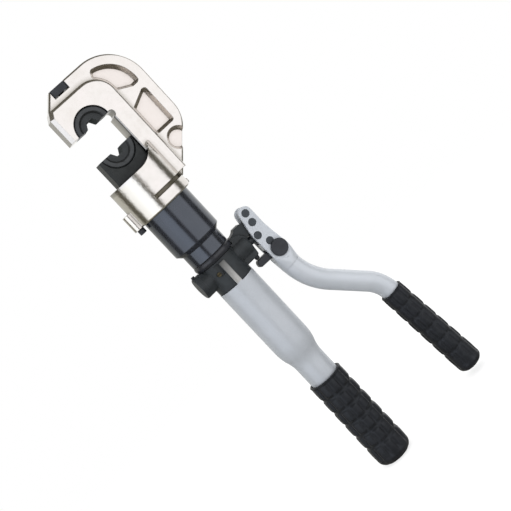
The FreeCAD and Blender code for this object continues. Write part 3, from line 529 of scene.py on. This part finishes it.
def rubber(name, colour):
    material, net, pos = new_material(name)
    pebble = net.voronoi(pos, scale=1500.0)
    fine = net.noise(pos, scale=3800.0)
    cloud = net.noise(pos, scale=60.0, detail=4.0)
    crevice_shade = net.crevice(distance=0.005)
    dust = net.rise(net.noise(pos, scale=190.0, detail=4.0, rough=0.65), 0.5, 0.75)
    base = net.vary(cloud, shade(colour, 0.8), shade(colour, 1.3))
    base = net.tint(base, (0.06, 0.062, 0.066), dust, 0.10)
    # painted shade in the grooves; further down, the reflection there is damped too
    base = net.tint(base, (0.003, 0.003, 0.003), crevice_shade, 0.8)
    height = net.plus(net.times(pebble, 0.8), net.times(fine, 0.4))
    net.output(net.principled(
        Base_Color=base,
        Roughness=net.plus(net.remap(cloud, MIDDLE, (0.30, 0.42)), net.times(crevice_shade, 0.25)),
        Specular_IOR_Level=net.remap(crevice_shade, (0.1, 0.8), (0.31, 0.03)),
        Specular_Tint=(0.88, 0.94, 1.0),
        Normal=net.bump(height, strength=0.22, distance=0.0003),
        Sheen_Weight=0.02,
        Sheen_Roughness=0.5,
    ))
    return material


def machined(name, low, high, rough):
    """Bare metal with fine turning lines, between two colours."""
    material, net, pos = new_material(name)
    bevel = net.bevel(radius=0.0005)
    lines = net.turned(pos)
    cloud = net.noise(pos, scale=150.0)
    crevice_shade = net.crevice(distance=0.003)
    base = net.vary(net.plus(net.times(lines, 0.5), net.times(cloud, 0.5)), low, high)
    # painted shade in corners
    base = net.tint(base, shade(low, 0.25), crevice_shade, 0.5)
    net.output(net.principled(
        Base_Color=base,
        Metallic=1.0,
        Roughness=net.remap(cloud, MIDDLE, rough),
        Normal=net.bump(lines, strength=0.12, distance=0.0002, Normal=bevel),
    ))
    return material


MATERIALS = {
    "plated_steel": plated_steel(),
    "cylinder_black": gloss_black(),
    "body_black": satin_black(
        "satin_black_body", (0.020, 0.0235, 0.026), rough=(0.36, 0.50), specular=0.30
    ),
    "black_parts": satin_black(
        "smooth_black", (0.022, 0.024, 0.029), rough=(0.30, 0.42), specular=0.30,
        grain=2400.0, bump=0.12,
    ),
    "die_steel": satin_black(
        "black_oxide", (0.026, 0.028, 0.028), rough=(0.36, 0.50), specular=0.13,
        grain=2200.0, bump=0.12, wear=0.5,
    ),
    "die_faces": satin_black(
        "black_oxide_die", (0.040, 0.043, 0.045), rough=(0.34, 0.48), specular=0.28,
        grain=2200.0, bump=0.12, wear=0.5, cores=(0.5185, 0.4830),
    ),
    "collar_black": satin_black(
        "collar_black", (0.014, 0.015, 0.019), rough=(0.24, 0.32), specular=0.50,
        grain=2600.0, bump=0.06, wear=0.3,
    ),
    "pin_steel": satin_black(
        "dark_pin", (0.030, 0.036, 0.043), rough=(0.30, 0.42), specular=0.35,
        grain=2200.0, bump=0.10, wear=0.5,
    ),
    "handle_grey": handle_paint("grey_metallic_paint", gain=1.07),
    "tube_grey": handle_paint("grey_metallic_paint_tube", gain=0.93, bare=True),
    "grip_rubber": rubber("grip_rubber", (0.0075, 0.0080, 0.0100)),
    "seal_rubber": rubber("seal_rubber", (0.014, 0.012, 0.011)),
    "bright_steel": machined(
        "bright_steel", (0.50, 0.51, 0.52), (0.68, 0.69, 0.70), rough=(0.2, 0.34)
    ),
    "spring_steel": machined(
        "spring_steel", (0.28, 0.29, 0.31), (0.42, 0.43, 0.45), rough=(0.24, 0.36)
    ),
    "relief_brass": machined(
        "relief_brass", (0.06, 0.052, 0.032), (0.12, 0.10, 0.06), rough=(0.28, 0.4)
    ),
    "bronze": machined("bronze", (0.50, 0.36, 0.17), (0.66, 0.50, 0.27), rough=(0.24, 0.36)),
}

# pieces whose look differs from that of their material slot
OWN_LOOKS = {
    "fixed_tube": "tube_grey",
    "relief_screw": "relief_brass",
    "upper_die": "die_faces",
    "lower_die": "die_faces",
    "swivel_collar": "collar_black",
}

slots = {part["node"]: part["material_slot"] for part in frame["record"]["subparts"]}
for name, obj in frame["nodes"].items():
    obj.data.materials.clear()
    obj.data.materials.append(MATERIALS[OWN_LOOKS.get(name, slots[name])])


# ------------------------------------------------------------------
# helpers for new pieces
# ------------------------------------------------------------------
def add_piece(name, verts, faces, body, slot, fix_normals=False):
    """A smooth mesh that rides on a body and takes its slot's material."""
    mesh = bpy.data.meshes.new(name)
    mesh.from_pydata([tuple(vert) for vert in verts], [], faces)
    mesh.update()
    mesh.materials.append(MATERIALS[slot])
    if fix_normals:
        work = bmesh.new()
        work.from_mesh(mesh)
        bmesh.ops.recalc_face_normals(work, faces=work.faces)
        work.to_mesh(mesh)
        work.free()
    mesh.shade_smooth()
    obj = bpy.data.objects.new(name, mesh)
    scene.collection.objects.link(obj)
    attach(obj, body)
    return obj


def smoothstep(start, end, value):
    t = max(0.0, min(1.0, (value - start) / (end - start)))
    return t * t * (3 - 2 * t)


# ------------------------------------------------------------------
# rubber grips: raised pads in rows, moulded over each tube
# ------------------------------------------------------------------
GRIP_LIP = 0.0016  # plain rim at the open end
PAD_DOME = 0.45  # crown of a pad, as a share of the groove depth
RING_START = 0.0008  # first ring of the padded surface
RING_STEP = 0.00062
END_STEPS = 14  # rings round the closed end
TUBE_REACH = 0.010  # how far the bore goes in
DIMPLE = 0.0006  # depth of the recess in the closed end


def grip(
    name, body, node, top, axis, length, top_radius, end_radius, bore, rows, flutes, phase,
    row_gap, flute_gap, depth, corner, flat, around,
):
    """A closed rubber sleeve.

    top is the middle of its open end and axis points to its closed end. rows are the
    pads' middles, measured from the open end; flutes is the count of lengthwise grooves
    and phase the angle of one. corner and flat are the closed end's rounding and the
    radius of its flat.
    """
    across = Vector((1, 0, 0))
    across = (across - axis * across.dot(axis)).normalized()
    side = axis.cross(across)
    row_edges = [rows[0] - (rows[1] - rows[0]) / 2]
    row_edges += [(row + after) / 2 for row, after in zip(rows, rows[1:])]
    row_edges.append(rows[-1] + (rows[-1] - rows[-2]) / 2)
    flute_pitch = 2 * math.pi / flutes

    def taper(along):
        return top_radius + (end_radius - top_radius) * along / length

    def padded_radius(along, angle):
        # pitches to the nearest flute, 0 to 0.5
        turn = (angle - phase) / flute_pitch
        turn = abs(turn - round(turn))
        to_edge = min(abs(along - edge) for edge in row_edges[1:-1])
        pad = smoothstep(row_gap * 0.22, row_gap * 0.95, to_edge)
        pad *= smoothstep(flute_gap * 0.20, flute_gap * 0.95, turn * flute_pitch)
        # grooves grow shallow in the rounded end and stop short of the lip
        fade = smoothstep(length - corner * 0.75, length - corner * 1.7, along)
        below_lip = smoothstep(GRIP_LIP * 0.7, GRIP_LIP * 1.6, along)
        cut = (1 - pad) * depth * (0.25 + 0.75 * fade) * below_lip
        # each pad is a little crowned
        i = min(range(len(rows)), key=lambda k: abs(along - rows[k]))
        half = (row_edges[i + 1] - row_edges[i]) / 2
        crown = max(0.0, 1 - ((along - rows[i]) / half) ** 2)
        crown *= max(0.0, 1 - (1 - turn * 2) ** 2)
        return taper(along) - cut - (1 - crown) * depth * PAD_DOME * below_lip

    verts, faces, rings = [], [], []

    def add_ring(along, radius_at):
        rings.append(len(verts))
        centre = top + axis * along
        for k in range(around):
            angle = 2 * math.pi * k / around
            radius = radius_at(angle)
            verts.append(
                centre + across * (radius * math.cos(angle)) + side * (radius * math.sin(angle))
            )

    # up the bore and over the rolled lip: distance from the open end, radius
    for along, radius in (
        (TUBE_REACH, bore),
        (0.0012, bore),
        (0.0003, bore + 0.0004),
        (0.0, bore + 0.0012),
        (0.0, top_radius - 0.0012),
        (0.00025, top_radius - 0.0005),
    ):
        add_ring(along, lambda angle: radius)
    end_start = length - corner
    along = RING_START
    while along < end_start:
        add_ring(along, lambda angle: padded_radius(along, angle))
        along += RING_STEP
    # rounded end
    for k in range(1, END_STEPS + 1):
        sweep = math.pi / 2 * k / END_STEPS
        along = end_start + corner * math.sin(sweep)
        shrink = (taper(end_start) - flat) * (1 - math.cos(sweep))
        pads_at = min(along, length - corner * 0.4)
        add_ring(along, lambda angle: max(flat, padded_radius(pads_at, angle) - shrink))
    # flat and shallow recess: distance, share of the flat's radius
    for along, share in ((length, 0.80), (length - DIMPLE, 0.74), (length - DIMPLE, 0.30)):
        add_ring(along, lambda angle: flat * share)

    for start, after in zip(rings, rings[1:]):
        for k in range(around):
            k2 = (k + 1) % around
            faces.append((start + k, after + k, after + k2, start + k2))
    # a fan closes the recess, and another the inside of the bore
    tip = len(verts)
    verts.append(top + axis * (length - DIMPLE))
    for k in range(around):
        faces.append((rings[-1] + k, tip, rings[-1] + (k + 1) % around))
    hub = len(verts)
    verts.append(top + axis * TUBE_REACH)
    for k in range(around):
        faces.append((rings[0] + (k + 1) % around, hub, rings[0] + k))

    obj = add_piece(name, verts, faces, body, "grip_rubber", fix_normals=True)
    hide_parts(node)


main_lo, main_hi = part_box("main_grip")
grip(
    "main_grip_rubber", "pump", "main_grip",
    top=Vector((0, 0, main_hi.z)),
    axis=Vector((0, 0, -1)),
    length=main_hi.z - main_lo.z,
    top_radius=0.0226,
    end_radius=0.0237,
    bore=0.01882,
    rows=[0.0110, 0.0307, 0.0499, 0.0693, 0.0886, 0.1085],
    flutes=10,
    phase=math.radians(8.0),
    row_gap=0.0042,
    flute_gap=math.radians(9.0),
    depth=0.0012,
    corner=0.0100,
    flat=0.0137,
    around=192,
)

# The handle's line slants down and out from SLANT_TOP to SLANT_END_Z, then turns
# to the steeper line of the grip. Angles are from straight down, toward +X.
GRIP_SPLAY = math.radians(6.2)
SLANT = math.radians(43.6)
SLANT_TOP = Vector((0.0615, 0, 0.2283))
SLANT_END_Z = 0.1593
GRIP_SETBACK = 0.0156  # from the turn to the grip's open end

grip_axis = Vector((math.sin(GRIP_SPLAY), 0, -math.cos(GRIP_SPLAY)))
slant_axis = Vector((math.sin(SLANT), 0, -math.cos(SLANT)))
slant_end = SLANT_TOP + slant_axis * ((SLANT_END_Z - SLANT_TOP.z) / slant_axis.z)
grip(
    "moving_grip_rubber", "handle", "moving_grip",
    top=slant_end + grip_axis * GRIP_SETBACK,
    axis=grip_axis.normalized(),
    length=0.1364,
    top_radius=0.0153,
    end_radius=0.0171,
    bore=0.01253,
    rows=[0.0110 + 0.0204 * i for i in range(6)],
    flutes=8,
    phase=math.radians(-8.0),
    row_gap=0.0034,
    flute_gap=math.radians(11.0),
    depth=0.0008,
    corner=0.0080,
    flat=0.0091,
    around=160,
)

# ------------------------------------------------------------------
# coil springs, each riding on its body
# ------------------------------------------------------------------
COIL_STEPS = 28  # per turn
WIRE_SIDES = 10

# name, replaced node, body, joint,
# y of the axis, bottom z, top z, coil radius, wire radius, turns, fixed end z, keep
SPRINGS = [
    ("return_spring_coil", "return_spring", "head", "ram_slide",
     0, 0.3702, 0.4382, 0.0194, 0.0021, 6.5, 0.4382, 0.482),
    ("button_spring_coil", "button_spring", "head", "button_press",
     0, 0.5561, 0.5681, 0.0042, 0.0007, 5, 0.5561, 0.875),
    ("upper_detent_coil", "upper_detent_spring", "head", "upper_detent",
     0.011, 0.5441, 0.5493, 0.0015, 0.00035, 5, 0.5493, 0.75),
    ("lower_detent_coil", "lower_detent_spring", "ram", "lower_detent",
     0.011, 0.4531, 0.4574, 0.0015, 0.00035, 4, 0.4531, 0.70),
    ("delivery_coil", "delivery_spring", "pump", "delivery_valve",
     0, 0.3174, 0.3278, 0.0026, 0.00045, 5, 0.3278, 0.90),
]


def coil(name, node, body, joint, y, bottom, top, radius, wire, turns, fixed_z, keep):
    steps = int(turns * COIL_STEPS)
    verts, faces = [], []
    rise = top - bottom - 2 * wire
    for i in range(steps + 1):
        t = i / steps
        # the pitch eases toward each end
        eased = smoothstep(0.0, 1.0, t) * 0.25 + t * 0.75
        angle = 2 * math.pi * turns * t
        radial = Vector((math.cos(angle), math.sin(angle), 0))
        centre = Vector((0, y, bottom + wire + rise * eased)) + radial * radius
        for k in range(WIRE_SIDES):
            turn = 2 * math.pi * k / WIRE_SIDES
            lift = Vector((0, 0, wire * math.sin(turn)))
            verts.append(centre + radial * (wire * math.cos(turn)) + lift)
    for i in range(steps):
        start = i * WIRE_SIDES
        after = start + WIRE_SIDES
        for k in range(WIRE_SIDES):
            k2 = (k + 1) % WIRE_SIDES
            faces.append((start + k, after + k, after + k2, start + k2))
    last = steps * WIRE_SIDES
    faces.append(tuple(range(WIRE_SIDES)))
    faces.append(tuple(reversed(range(last, last + WIRE_SIDES))))
    obj = add_piece(name, verts, faces, body, "spring_steel")
    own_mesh(obj)
    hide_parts(node)


for spring in SPRINGS:
    coil(*spring)

# ------------------------------------------------------------------
# floor and world: a plain white studio
# ------------------------------------------------------------------
FLOOR_RADIUS = 14.0
FLOOR_Z = -0.0002


def add_floor():
    """A disc that turns from lit white to glowing white away from the object."""
    material, net, pos = new_material("studio_floor")
    grain = net.noise(pos, scale=35.0)
    lit = net.principled(
        Base_Color=net.vary(grain, (0.86, 0.86, 0.86), (0.88, 0.88, 0.88)),
        Roughness=0.9,
        Specular_IOR_Level=0.1,
    )
    glow = net.add("ShaderNodeEmission", Color=(1.0, 1.0, 1.0), Strength=1.0)
    distance = net.vector_math("LENGTH", pos, output="Value")
    far = net.remap(distance, (0.25, 1.2), (0.78, 1.0), smooth=True)
    net.output(net.mix_shader(far, lit, glow))

    disc = bmesh.new()
    bmesh.ops.create_circle(disc, cap_ends=True, segments=96, radius=FLOOR_RADIUS)
    mesh = bpy.data.meshes.new("floor")
    disc.to_mesh(mesh)
    disc.free()
    mesh.materials.append(material)
    obj = bpy.data.objects.new("floor", mesh)
    obj.location = (0, 0, FLOOR_Z)
    scene.collection.objects.link(obj)
    obj.visible_glossy = False


add_floor()

# Bands of light and shade round the object: angle in degrees, 0 toward the camera
# and positive to its level right, then (r, g, b).
BANDS = [
    (-180, (1.02, 1.02, 1.00)),
    (-168, (1.02, 1.02, 1.00)),
    (-160, (0.46, 0.45, 0.42)),
    (-150, (0.60, 0.60, 0.55)),
    (-109, (0.56, 0.56, 0.51)),
    (-104, (0.11, 0.105, 0.085)),
    (-82, (0.11, 0.105, 0.085)),
    (-76, (1.14, 1.18, 1.25)),
    (-56, (1.24, 1.30, 1.40)),
    (-38, (1.40, 1.47, 1.60)),
    (-15, (1.34, 1.41, 1.54)),
    (-11, (0.14, 0.13, 0.11)),
    (2, (0.14, 0.13, 0.11)),
    (6, (1.28, 1.28, 1.31)),
    (76, (1.28, 1.28, 1.31)),
    (84, (0.11, 0.105, 0.085)),
    (106, (0.11, 0.105, 0.085)),
    (114, (1.10, 1.10, 1.10)),
    (180, (1.04, 1.04, 1.02)),
]
PEAK = 4.0  # background strength; colours are divided by it to stay below 1

# light from above and below: (soft light, what mirrored rays see)
SKY = ((2.45, 2.45, 2.45), (0.15, 0.14, 0.115))
GROUND = ((0.95, 0.95, 0.94), (0.20, 0.195, 0.165))


def add_world():
    world = bpy.data.worlds.new("studio")
    scene.world = world
    world.use_nodes = True
    world.cycles.sampling_method = "NONE"
    net = Nodes(world.node_tree)
    x, y, z = net.split(net.coordinates("Generated"))
    cos_az = math.cos(CAMERA_AZIMUTH)
    sin_az = math.sin(CAMERA_AZIMUTH)
    rightward = net.plus(net.times(x, cos_az), net.times(y, sin_az))
    toward = net.plus(net.times(x, sin_az), net.times(y, -cos_az))
    angle = net.math("ARCTAN2", rightward, toward)
    colour = net.ramp(
        net.rise(angle, -math.pi, math.pi),
        [((degrees + 180) / 360, shade(band, 1 / PEAK)) for degrees, band in BANDS],
    )
    # mirrored rays meet a dark ceiling and a dark ground, so edges draw as
    # dark lines; soft light still comes from the whole ceiling
    rays = net.add("ShaderNodeLightPath").outputs
    for (soft, mirrored), limits in ((SKY, (0.44, 0.60)), (GROUND, (-0.20, -0.44))):
        mask = net.remap(z, limits, (0.0, 1.0), smooth=True)
        cap = net.mix(rays["Is Glossy Ray"], shade(soft, 1 / PEAK), shade(mirrored, 1 / PEAK))
        colour = net.mix(mask, colour, cap)
    studio = net.add("ShaderNodeBackground", Color=colour, Strength=PEAK)
    white = net.add("ShaderNodeBackground", Color=(1.0, 1.0, 1.0), Strength=1.0)
    net.output(net.mix_shader(rays["Is Camera Ray"], studio, white), "World")


add_world()
